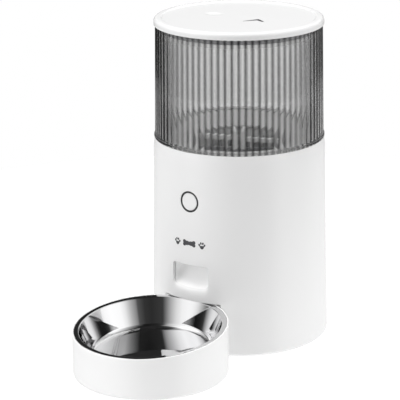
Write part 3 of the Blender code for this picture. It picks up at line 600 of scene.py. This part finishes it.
def wall_sheet(bm, rows, holes, notch, depth):
    """The wall as one sheet of triangles, wrapped round, without the holes and the foot's notch."""
    edge = [Vector((t * UNROLL_R, rows[0])) for t in COLUMNS]
    left = [p for p in edge if p.x < notch[0].x - 1.0]
    right = [p for p in edge if p.x > notch[-1].x + 1.0]
    top = [Vector((t * UNROLL_R, rows[-1])) for t in reversed(COLUMNS)]
    sides = [Vector((COLUMNS[-1] * UNROLL_R, v)) for v in rows[1:-1]]
    sides_back = [Vector((COLUMNS[0] * UNROLL_R, v)) for v in reversed(rows[1:-1])]
    border = left + notch + right + sides + top + sides_back
    loops = [border] + holes
    points, edges = [], []
    for loop in loops:
        first = len(points)
        points += loop
        edges += [(first + i, first + (i + 1) % len(loop)) for i in range(len(loop))]
    fixed = list(points)
    for v in rows[1:-1]:
        for t in COLUMNS[1:-1]:
            spot = Vector((t * UNROLL_R, v))
            if not inside(spot, border) or any(inside(spot, hole) for hole in holes):
                continue
            if all((spot - p).length_squared > 4.0 for p in fixed if abs(p.y - v) < 2.0):
                points.append(spot)
    flat, _, faces, _, _, _ = delaunay_2d_cdt(points, edges, [], 0, 0.00001)
    verts = [bm.verts.new(body_point(p.x / UNROLL_R, p.y, depth)) for p in flat]
    for face in faces:
        middle = sum((flat[i] for i in face), Vector((0.0, 0.0))) / 3
        if inside(middle, border) and not any(inside(middle, hole) for hole in holes):
            bm.faces.new([verts[i] for i in face])


def offset_loop(loop, sizes, closed=True):
    """Move an outline's points outwards (to the right of its direction) by a size each."""
    out = []
    count = len(loop)
    for i, (here, size) in enumerate(zip(loop, sizes)):
        before = loop[i - 1] if closed or i > 0 else here
        after = loop[(i + 1) % count] if closed or i < count - 1 else here
        along = (after - before).normalized()
        out.append(here + Vector((along.y, -along.x)) * size)
    return out


def reach_inner(start, way):
    """Go from a point on the wall's outside along a way until the wall's inside."""
    near, far = 0.0, WALL_SEARCH
    for _ in range(HALVINGS):
        mid = (near + far) / 2
        p = start + way * mid
        if math.hypot(p.x, p.y - AXIS_Y) > cone_r(p.z) - WALL:
            near = mid
        else:
            far = mid
    return start + way * far


def lip(bm, edge, ways, outer_size, inner_size, closed=True, steps=5):
    """Round the edge of an opening and line its thickness; returns the outer and inner outlines.

    edge holds the sharp edge's points on the outside, counterclockwise, and ways the directions
    inwards.
    """
    flat = [unroll(p) for p in edge]
    outer = offset_loop(flat, outer_size, closed)
    inner = [reach_inner(p, w) for p, w in zip(edge, ways)]
    rows = [[] for _ in range(steps + 2)]
    for p, w, a, size, end in zip(edge, ways, outer, inner_size, inner):
        start = body_point(a.x / UNROLL_R, a.y)
        stop = p + w * min(size, (end - p).length * 0.9)
        for row, spot in zip(rows, bend(start, p, stop, steps)):
            row.append(spot)
        rows[-1].append(end)
    skin(bm, rows, around=closed)
    return outer, [unroll(p) for p in inner]


# ---------------------------------------------------------------- chute and openings

CHUTE_HALF_W = 22.3
CHUTE_WALL = 1.8
CHUTE_GAP = 2.4                                 # between the wall and the duct, away from the sill
WINDOW_SHAPE_H = 27.0                           # height of the outline that the window is mapped from
WINDOW_TOP_CORNER = 3.5
WINDOW_LOW_CORNER = 6.0
WINDOW_TOP = 96.3
WINDOW_LIP_OUT = 0.6                            # rounding of the window's edge on the wall
SILL_LIP_OUT = 5.5                              # and what the sill adds to it
WINDOW_LIP_IN = 0.5                             # the same along the way in
SILL_LIP_IN = 2.4
WINDOW_MIDDLE = 80.0                            # a height inside the window, to start a search from
SEARCH_STEPS = 6
SLIDE_LOW = Vector((0.0, AXIS_Y - 102.0, 62.1))
SLIDE_KNEE = Vector((0.0, AXIS_Y - 56.0, 98.0))
SLIDE_TOP = Vector((0.0, AXIS_Y - 26.0, 159.7))
SLIDE_WAY = (SLIDE_KNEE - SLIDE_LOW).normalized()
INWARD = Vector((0.0, 1.0, 0.0))


def rounded_outline(half_w, height, top_r, low_r, steps=8):
    """A counterclockwise outline about x = 0 standing on 0: a rectangle with rounded corners."""
    corners = [(half_w - low_r, low_r, low_r, -90), (half_w - top_r, height - top_r, top_r, 0),
               (top_r - half_w, height - top_r, top_r, 90), (low_r - half_w, low_r, low_r, 180)]
    points = []
    for x, z, radius, start in corners:
        for step in range(steps + 1):
            turn = math.radians(start + 90.0 * step / steps)
            points.append(Vector((x + radius * math.cos(turn), z + radius * math.sin(turn))))
    return split_long(points, 4.0)


def split_long(points, longest):
    """A closed outline with points added along its long sides."""
    out = []
    for a, b in zip(points, points[1:] + points[:1]):
        parts = max(1, math.ceil((b - a).length / longest))
        out += [a + (b - a) * k / parts for k in range(parts)]
    return out


def slide_z(y):
    """Height of the slide's lower slope at a place."""
    return SLIDE_LOW.z + (y - SLIDE_LOW.y) * SLIDE_WAY.z / SLIDE_WAY.y


CHUTE_SHAPE = rounded_outline(CHUTE_HALF_W, WINDOW_SHAPE_H, WINDOW_TOP_CORNER, WINDOW_LOW_CORNER)


def on_front(x, z):
    """The point of the base unit's front at a place."""
    return Vector((x, AXIS_Y - math.sqrt(cone_r(z) ** 2 - x ** 2), z))


def window_edge():
    """The window's sharp edge and each point's way inwards and lowness (1 at the sill)."""
    edge, ways, lowness = [], [], []
    for x, w in CHUTE_SHAPE:
        share = w / WINDOW_SHAPE_H
        z = WINDOW_MIDDLE
        for _ in range(SEARCH_STEPS):
            z = (1 - share) * slide_z(on_front(x, z).y) + share * WINDOW_TOP
        edge.append(on_front(x, z))
        low = min(1.0, max(0.0, 1.0 - w / WINDOW_LOW_CORNER))
        lowness.append(low * low * (3 - 2 * low))
        level = min(1.0, max(0.0, (share - 0.5) / 0.4))
        ways.append(SLIDE_WAY.lerp(INWARD, level).normalized())
    return edge, ways, lowness


def pocket_edge():
    """The bowl pocket's edge on the wall, from its left foot over the top to its right foot."""
    centre = Vector((0.0, BOWL_Y))

    def side(v):
        spot = body_point(0.0, v)
        radius = AXIS_Y - spot.y
        reach = AXIS_Y - BOWL_Y
        return math.acos((reach ** 2 + radius ** 2 - POCKET_R ** 2) / (2 * reach * radius)), spot.z

    foot = BASE_Z + FOOT_FILLET
    levels = [FOOT_V + (foot - FOOT_V) * i / 6 for i in range(7)]
    levels += [foot + (POCKET_TOP - foot) * i / 9 for i in range(1, 10)]
    left = [Vector((-side(v)[0] * UNROLL_R, v)) for v in levels]
    top_turn = side(POCKET_TOP)[0]
    top = [Vector((top_turn * (i / 10 - 1) * UNROLL_R, POCKET_TOP)) for i in range(1, 20)]
    right = [Vector((-p.x, p.y)) for p in reversed(left)]
    flat = left + top + right
    edge = [body_point(p.x / UNROLL_R, p.y) for p in flat]
    ways = []
    for p in edge:
        out = Vector((p.x, p.y)) - centre
        tangent = Vector((-out.y, out.x, 0.0)).normalized()
        if tangent.y < 0:
            tangent = -tangent
        ways.append(tangent)
    for i in range(len(left), len(left) + len(top)):
        ways[i] = INWARD.copy()
    return flat, edge, ways


BUTTON_Z = 164.4
BUTTON_R = 9.2
BUTTON_HOLE_R = 11.2
JACK_Z = 22.0
JACK_R = 4.7
BUTTON_LIP = 0.35
JACK_LIP = 0.4


def round_edge(radius, z, back=False, count=64):
    """The sharp edge of a round hole through the front or the back of the wall."""
    edge = []
    for i in range(count):
        turn = 2 * math.pi * i / count
        p = on_front(radius * math.cos(turn), z + radius * math.sin(turn))
        edge.append(Vector((-p.x, 2 * AXIS_Y - p.y, p.z)) if back else p)
    return edge


def make_housing():
    """The white shell: its wall with each opening lipped, its inside, and its top and bottom edges."""
    bm = bmesh.new()
    window, window_ways, lowness = window_edge()
    button = round_edge(BUTTON_HOLE_R, BUTTON_Z)
    jack = round_edge(JACK_R, JACK_Z, back=True, count=32)
    holes_out, holes_in = [], []
    for edge, ways, outer_size, inner_size in (
            (window, window_ways, [WINDOW_LIP_OUT + SILL_LIP_OUT * k for k in lowness],
             [WINDOW_LIP_IN + SILL_LIP_IN * k for k in lowness]),
            (button, [INWARD] * len(button), [BUTTON_LIP] * len(button), [BUTTON_LIP] * len(button)),
            (jack, [-INWARD] * len(jack), [JACK_LIP] * len(jack), [JACK_LIP] * len(jack))):
        out, into = lip(bm, edge, ways, outer_size, inner_size)
        holes_out.append(out)
        holes_in.append(into)
    flat, edge, ways = pocket_edge()
    reverse = list(reversed(range(len(edge))))
    notch_out, notch_in = pocket_lip(bm, [flat[i] for i in reverse], [edge[i] for i in reverse],
                                     [ways[i] for i in reverse])
    notch_out.reverse()
    notch_in.reverse()
    foot = BASE_Z + FOOT_FILLET
    shoulder = SHOULDER_Z - SHOULDER_EDGE
    rows = [FOOT_V + (foot - FOOT_V) * i / 6 for i in range(6)]
    rows += [foot + (shoulder - foot) * i / 26 for i in range(27)]
    rows += [shoulder + (TOP_V - shoulder) * i / 3 for i in range(1, 4)]
    wall_sheet(bm, rows, holes_out, notch_out, 0.0)
    inner_rows = [INNER_LOW + (INNER_HIGH - INNER_LOW) * i / 24 for i in range(25)]
    wall_sheet(bm, inner_rows, holes_in, [p for p in notch_in if p.y > INNER_LOW + 0.5], WALL)
    close_ends(bm, (notch_out[-1].x + 1.0) / UNROLL_R)
    bmesh.ops.remove_doubles(bm, verts=bm.verts, dist=0.0005)
    bmesh.ops.holes_fill(bm, edges=[e for e in bm.edges if e.is_boundary])
    bmesh.ops.recalc_face_normals(bm, faces=bm.faces)
    add_piece("housing_shell", bm, GLOSS_WHITE, "base", "gloss_white", "housing")


def pocket_lip(bm, flat, edge, ways):
    """The pocket's small rounded edge and the wall's thickness along it."""
    edge_size, steps = 0.45, 4
    outer = offset_loop(flat, [edge_size] * len(flat), closed=False)
    rows = [[] for _ in range(steps + 2)]
    inner = []
    for p, w, a in zip(edge, ways, outer):
        start = body_point(a.x / UNROLL_R, a.y)
        end = reach_inner(p, w) if p.z > BASE_Z + FOOT_FILLET else p + w * 3.0
        for row, spot in zip(rows, bend(start, p, p + w * edge_size, steps)):
            row.append(spot)
        rows[-1].append(end)
        inner.append(unroll(end))
    skin(bm, rows, around=False)
    return outer, inner


def close_ends(bm, notch_turn):
    """The flat top ring down to the wall's inside, and the foot ring outside the pocket."""
    top = [(SHOULDER_R - SHOULDER_EDGE, SHOULDER_Z), (85.0, SHOULDER_Z), (84.6, SHOULDER_Z - 0.4),
           (84.9, INNER_HIGH + 1.0), (cone_r(INNER_HIGH) - WALL, INNER_HIGH)]
    foot = [(cone_r(INNER_LOW) - WALL, INNER_LOW), (88.6, 4.5), (88.6, BASE_Z),
            (FOOT_R - FOOT_FILLET, BASE_Z)]
    left = [t for t in COLUMNS if t < -notch_turn]
    right = [t for t in COLUMNS if t > notch_turn]
    for turns, profile in ((COLUMNS, top), (left, foot), (right, foot)):
        rings = [[Vector((r * math.sin(t), AXIS_Y - r * math.cos(t), z)) for t in turns]
                 for r, z in profile]
        skin(bm, rings, around=False)


# Places along the duct, from the window up: the floor's y and z and the ceiling's, from the axis
CHUTE_STATIONS = [
    (-80.0, 79.3, -86.0, 97.8), (-74.0, 83.9, -82.8, 102.6), (-68.0, 88.6, -79.0, 108.2),
    (-61.0, 94.4, -74.0, 115.6), (-55.0, 100.4, -69.0, 123.0), (-49.5, 111.4, -63.5, 131.2),
    (-44.0, 122.7, -57.0, 140.8), (-35.0, 141.2, -50.4, 150.4), (-26.0, 159.7, -50.0, 159.7)]


def make_chute():
    """The duct behind the window: flush with the sill, and a dark gap away from it at the sides."""
    edge, ways, lowness = window_edge()
    thick = CHUTE_WALL
    front, front_out = [], []
    for p, w, low, (x, up) in zip(edge, ways, lowness, CHUTE_SHAPE):
        start = reach_inner(p, w) + w * (0.02 + CHUTE_GAP * (1.0 - low))
        front.append(start)
        share = up / WINDOW_SHAPE_H
        front_out.append(start + Vector((thick * x / CHUTE_HALF_W, 0.3, thick * (2 * share - 1))))
    inner, outer = [front], [front_out]
    for floor_y, floor_z, top_y, top_z in CHUTE_STATIONS:
        low = Vector((0.0, AXIS_Y + floor_y, floor_z))
        high = Vector((0.0, AXIS_Y + top_y, top_z))
        up = (high - low).normalized()
        inner.append([low + (high - low) * (w / WINDOW_SHAPE_H) + Vector((x, 0, 0))
                      for x, w in CHUTE_SHAPE])
        outer.append([low - up * thick + (high - low + 2 * thick * up) * (w / WINDOW_SHAPE_H)
                      + Vector((x * (1 + thick / CHUTE_HALF_W), 0, 0)) for x, w in CHUTE_SHAPE])
    bm = bmesh.new()
    skin(bm, inner + list(reversed(outer)), wrap=True)
    # the duct's white glows faintly: painted light inside the window recess
    add_piece("chute_duct", bm, CHUTE_PAINTED_LIGHT_WHITE, "base", "gloss_white", "food_chute")


def sunk_ring(radius, depth):
    """A ring round the button's middle that follows the front's curve at a depth."""
    return [p + INWARD * depth for p in round_edge(radius, BUTTON_Z)]


CAP_DEPTH = 0.25                                # how far the cap lies below the surface


def make_button():
    """The round cap, a little below the surface and following its curve."""
    middle = on_front(0.0, BUTTON_Z)
    rings = [[middle + INWARD * CAP_DEPTH]]
    rings += [sunk_ring(BUTTON_R * share, CAP_DEPTH) for share in (0.25, 0.5, 0.75, 0.93)]
    rings += [sunk_ring(BUTTON_R - inset, depth)
              for inset, depth in ((0.35, 0.27), (0.16, 0.34), (0.04, 0.46), (0.0, 0.65))]
    back = middle.y + 5.0
    rings.append([Vector((p.x, back, p.z)) for p in rings[-1]])
    rings.append([Vector((0.0, back, BUTTON_Z))])
    bm = bmesh.new()
    skin(bm, rings)
    add_piece("button_face", bm, GLOSS_WHITE, "button", "gloss_white", "button_cap")


def make_light_ring():
    """The light ring's own dark plastic, filling the gap round the button a little below the surface,
    where it also stands in as painted shade for the gap.
    """
    inner, outer, back = BUTTON_R + 0.15, BUTTON_HOLE_R - 0.05, 2.6
    profile = [(inner, back), (inner, 0.25), (inner + 0.1, 0.15), (outer - 0.1, 0.15), (outer, 0.25),
               (outer, back)]
    bm = bmesh.new()
    skin(bm, [sunk_ring(radius, depth) for radius, depth in profile], wrap=True)
    add_piece("button_light_ring", bm, BY_SLOT["dark_plastic"], "base", "dark_plastic", "light_ring")


# ---------------------------------------------------------------- printed mark

MARK_Z = 119.9
MARK_RISE = 0.06                                # how far the print stands off the wall
MARK_SPACING = 15.5


def ellipse(x, z, half_w, half_h, lean=0.0, count=28):
    """A leaning ellipse's outline."""
    points = []
    for i in range(count):
        turn = 2 * math.pi * i / count
        a, b = half_w * math.cos(turn), half_h * math.sin(turn)
        points.append(Vector((x + a * math.cos(lean) - b * math.sin(lean),
                              z + a * math.sin(lean) + b * math.cos(lean))))
    return points


def paw(x):
    """A paw print: four toes over a rounded pad."""
    shapes = [ellipse(x + dx, dz, 0.95, 1.35, lean) for dx, dz, lean in
              ((-3.0, 0.3, 0.45), (-1.15, 2.1, 0.12), (1.15, 2.1, -0.12), (3.0, 0.3, -0.45))]
    pad = []
    for i in range(36):
        turn = 2 * math.pi * i / 36
        reach = 1.0 - 0.16 * math.cos(3 * (turn - math.pi / 2)) * (1 if math.sin(turn) > 0 else 0.6)
        pad.append(Vector((x + 2.35 * reach * math.cos(turn), -2.0 + 1.9 * reach * math.sin(turn))))
    return shapes + [pad]


def bone(x):
    """A bone lying level: a bar with two knobs at each end."""
    knob_r, knob_x, knob_z, steps = 1.9, 6.0, 1.55, 12
    half = []
    for cz, first, last in ((-knob_z, 205.0, 400.0), (knob_z, -40.0, 155.0)):
        for i in range(steps + 1):
            turn = math.radians(first + (last - first) * i / steps)
            half.append(Vector((knob_x + knob_r * math.cos(turn), cz + knob_r * math.sin(turn))))
    left = [Vector((-p.x, p.y)) for p in reversed(half)]
    return [[Vector((x + p.x, p.y)) for p in half + left]]


def make_mark():
    """Two paw prints and a bone printed above the window."""
    bm = bmesh.new()
    for shape in paw(-MARK_SPACING) + bone(0.0) + paw(MARK_SPACING):
        middle = sum(shape, Vector((0.0, 0.0))) / len(shape)
        rings = []
        for depth, scale in ((-MARK_RISE, 0.0), (-MARK_RISE, 0.55), (-MARK_RISE, 1.0), (0.2, 1.0),
                             (0.2, 0.0)):
            spots = [middle + (p - middle) * scale for p in (shape if scale else shape[:1])]
            rings.append([body_point(p.x / UNROLL_R, MARK_Z + p.y, depth) for p in spots])
        skin(bm, rings)
    add_piece("front_mark", bm, INK, "base", "dark_plastic")


# ---------------------------------------------------------------- tank

REED_DEPTH = 0.45
REED_STEPS = 10
TANK_LOW_R = 88.8
TANK_TOP_R = 87.1
COLLAR_TOP = SHOULDER_Z + 3.3
TANK_MIDDLE = 275.0
SPIGOT_LOW = 206.0


def reed_r(crest, turn):
    """The reeded wall's radius: a row of round lobes that meet in sharp grooves."""
    half = math.pi * crest / REEDS
    bulge = (half ** 2 + REED_DEPTH ** 2) / (2 * REED_DEPTH)
    along = ((turn * REEDS / (2 * math.pi)) % 1.0 - 0.5) * 2 * half
    return crest - bulge + math.sqrt(bulge ** 2 - along ** 2)


def make_tank():
    """The smoked tank: reeded outside, smooth inside, with a collar and a spigot at its foot."""
    count = REEDS * REED_STEPS
    turns = [2 * math.pi * i / count for i in range(count)]
    floor = SHOULDER_Z + 0.3
    low = [(79.8, SPIGOT_LOW), (84.2, SPIGOT_LOW), (84.2, floor), (89.2, floor), (89.5, floor + 0.2),
           (89.7, floor + 0.7), (89.6, COLLAR_TOP - 0.8), (89.45, COLLAR_TOP - 0.25),
           (89.1, COLLAR_TOP)]
    high = [(83.9, TANK_HIGH.z), (83.7, TANK_HIGH.z - 0.2), (84.3, 221.0), (84.0, 219.6), (82.2, 217.0),
            (82.0, 216.3), (82.0, SPIGOT_LOW + 2.0), (79.8, SPIGOT_LOW + 2.0)]
    rings = turned_rings([Vector(p) for p in low], count)
    slope = (TANK_TOP_R - TANK_LOW_R) / (TANK_HIGH.z - COLLAR_TOP)
    for z, sunk in ((COLLAR_TOP, 0.0), (TANK_MIDDLE, 0.0), (TANK_HIGH.z - 0.5, 0.0),
                    (TANK_HIGH.z - 0.15, 0.15), (TANK_HIGH.z, 0.5)):
        radii = [reed_r(TANK_LOW_R + slope * (z - COLLAR_TOP) - sunk, t) for t in turns]
        rings.append([Vector((r * math.cos(t), r * math.sin(t), z)) for r, t in zip(radii, turns)])
    rings += turned_rings([Vector(p) for p in high], count)
    bm = bmesh.new()
    skin(bm, moved_back(rings, AXIS_Y), wrap=True)
    wall = add_piece("tank_wall", bm, SMOKED, "tank", "smoked_clear", "hopper_tank")
    wall.visible_shadow = False                 # the room's light reaches the tank's inside


# ---------------------------------------------------------------- lid

LID_RECESS = 1.1                                # the flat top lies this far below the rim
DIMPLE = Vector((-29.9, -2.1))                  # its middle, from the axis
DIMPLE_HALF = Vector((10.0, 8.0))
DIMPLE_DEPTH = 0.9
PLUG_R = 82.4


def dimple_depth(x, y):
    """How deep the finger mark sinks the lid's top at a place, from the axis."""
    dx, dy = (x - DIMPLE.x) / DIMPLE_HALF.x, (y - DIMPLE.y) / DIMPLE_HALF.y
    return DIMPLE_DEPTH * max(0.0, 1.0 - dx ** 2 - dy ** 2)


def make_lid_mark():
    """A small printed arrowhead on the lid, showing where to hold it."""
    across, back = Vector((0.82, 0.57)), Vector((-0.6, 0.8))
    middle = Vector((27.8, -12.2))
    bars = [[(-11.5, 2.0), (3.0, 6.6), (4.8, 12.4), (-11.5, 3.0)],
            [(3.0, 6.6), (8.0, -1.7), (9.8, -0.6), (4.8, 12.4)]]
    bm = bmesh.new()
    for bar in bars:
        spots = [middle + across * x + back * y for x, y in bar]
        rings = []
        for rise, scale in ((0.05, 0.0), (0.05, 1.0), (-0.2, 1.0), (-0.2, 0.0)):
            centre = sum(spots, Vector((0.0, 0.0))) / 4
            ring = [centre + (p - centre) * scale for p in (spots if scale else spots[:1])]
            rings.append([Vector((p.x, p.y + AXIS_Y, LID_HIGH.z - LID_RECESS + rise)) for p in ring])
        skin(bm, rings)
    add_piece("lid_mark", bm, INK, "lid", "dark_plastic")


def make_lid():
    """The lid: a sunk top with a finger mark inside a raised rim, and the plug below."""
    recess = LID_HIGH.z - LID_RECESS
    profile = [(79.4, recess, 0.6), (80.9, LID_HIGH.z, 0.7), (86.2, LID_HIGH.z - 0.15, 1.6),
               (88.5, 340.6, 1.7), (88.5, LID_LOW.z + 10.0, 0.5), (82.6, LID_LOW.z + 10.0, 0.0),
               (PLUG_R, LID_LOW.z + 9.6, 0.0), (PLUG_R, 333.5, 0.0), (80.8, 333.5, 0.0),
               (80.8, 329.5, 0.0), (PLUG_R, 329.5, 0.0), (PLUG_R, LID_LOW.z, 0.5),
               (79.0, LID_LOW.z, 0.5), (79.0, 339.0, 1.0), (0.0, 339.0, 0.0)]
    flat_edge, ring_gap = 78.6, 1.5
    rings = [[Vector((0.0, 0.0, recess))]]
    rings += turned_rings([(ring_gap * i, recess) for i in range(1, 53)])
    for ring in rings:
        for p in ring:
            p.z -= dimple_depth(p.x, p.y)
    outline = soften([(flat_edge, recess, 0.0)] + profile)
    rings += turned_rings(outline)
    bm = bmesh.new()
    skin(bm, moved_back(rings, AXIS_Y))
    add_piece("lid_cover", bm, GLOSS_WHITE, "lid", "gloss_white", "lid")


# ---------------------------------------------------------------- tray and bowl

FLANGE_R = 77.9
SEAT_R = 75.5                                   # the tray's inside below the flange's rebate
TRAY_FLOOR = 3.8


def rim_height(y):
    """Height of the sloping rim plane at a distance behind the bowl's axis."""
    return RIM_Z + y * math.tan(RIM_TILT)


def make_tray():
    """The round tray: straight wall, rounded foot, and a rim that slopes down to the front."""
    turns = [2 * math.pi * i / ROUND for i in range(ROUND)]
    low = [(0.0, 5.2, 0.0), (0.0, TRAY_LOW.z, 0.0), (TRAY_R, TRAY_LOW.z, 4.0), (TRAY_R, 5.4, 0.0)]
    rings = turned_rings(soften(low, 10)[1:])
    top = [(TRAY_R, -6.0), (TRAY_R, -0.45), (TRAY_R - 0.05, -0.22), (TRAY_R - 0.2, -0.06),
           (TRAY_R - 0.42, 0.0), (FLANGE_R + 0.55, 0.0), (FLANGE_R + 0.36, -0.08),
           (FLANGE_R + 0.3, -0.3), (FLANGE_R + 0.3, -1.8), (SEAT_R + 0.4, -1.8), (SEAT_R, -2.1)]
    for r, dz in top:
        rings.append([Vector((r * math.cos(t), r * math.sin(t), rim_height(r * math.sin(t)) + dz))
                      for t in turns])
    cup = soften([(SEAT_R, 12.0, 0.0), (SEAT_R, TRAY_FLOOR, 3.0), (0.0, TRAY_FLOOR, 0.0)])
    rings += turned_rings(cup[1:])
    bm = bmesh.new()
    skin(bm, moved_back(rings, BOWL_Y))
    add_piece("tray_cup", bm, GLOSS_WHITE, "tray", "gloss_white", "bowl_tray")


BOWL_FLOOR = -31.5                              # below the rim plane, at the axis
BOWL_DISH = 1.0                                 # the floor rises this much to its edge
BOWL_DISH_R = 60.0
SHEET = 0.9                                     # thickness of the pressed steel


def make_bowl():
    """The pressed steel bowl: flat floor, rounded foot, leaning wall and a rolled flange."""
    inside = [(r, BOWL_FLOOR + BOWL_DISH * (r / BOWL_DISH_R) ** 2, 0.0) for r in range(0, 57, 6)]
    inside += [(62.8, BOWL_FLOOR + BOWL_DISH, 5.5), (73.0, -0.2, 0.9), (FLANGE_R, -0.12, 0.45)]
    outside = [(FLANGE_R, -1.1, 0.3), (73.8, -1.15, 1.0),
               (63.6, BOWL_FLOOR + BOWL_DISH - SHEET, 6.0), (0.0, BOWL_FLOOR - SHEET, 0.0)]
    rings = turned_rings(soften(inside + outside, 9), FINE_ROUND)
    tilt = Matrix.Rotation(RIM_TILT, 3, "X")
    place = Vector((0.0, BOWL_Y, RIM_Z))
    bm = bmesh.new()
    skin(bm, [[tilt @ p + place for p in ring] for ring in rings])
    add_piece("bowl_pressing", bm, STEEL, "tray", "bowl_steel", "steel_bowl")


make_housing()
make_chute()
make_button()
make_light_ring()
make_mark()
make_tank()
make_lid()
make_lid_mark()
make_tray()
make_bowl()
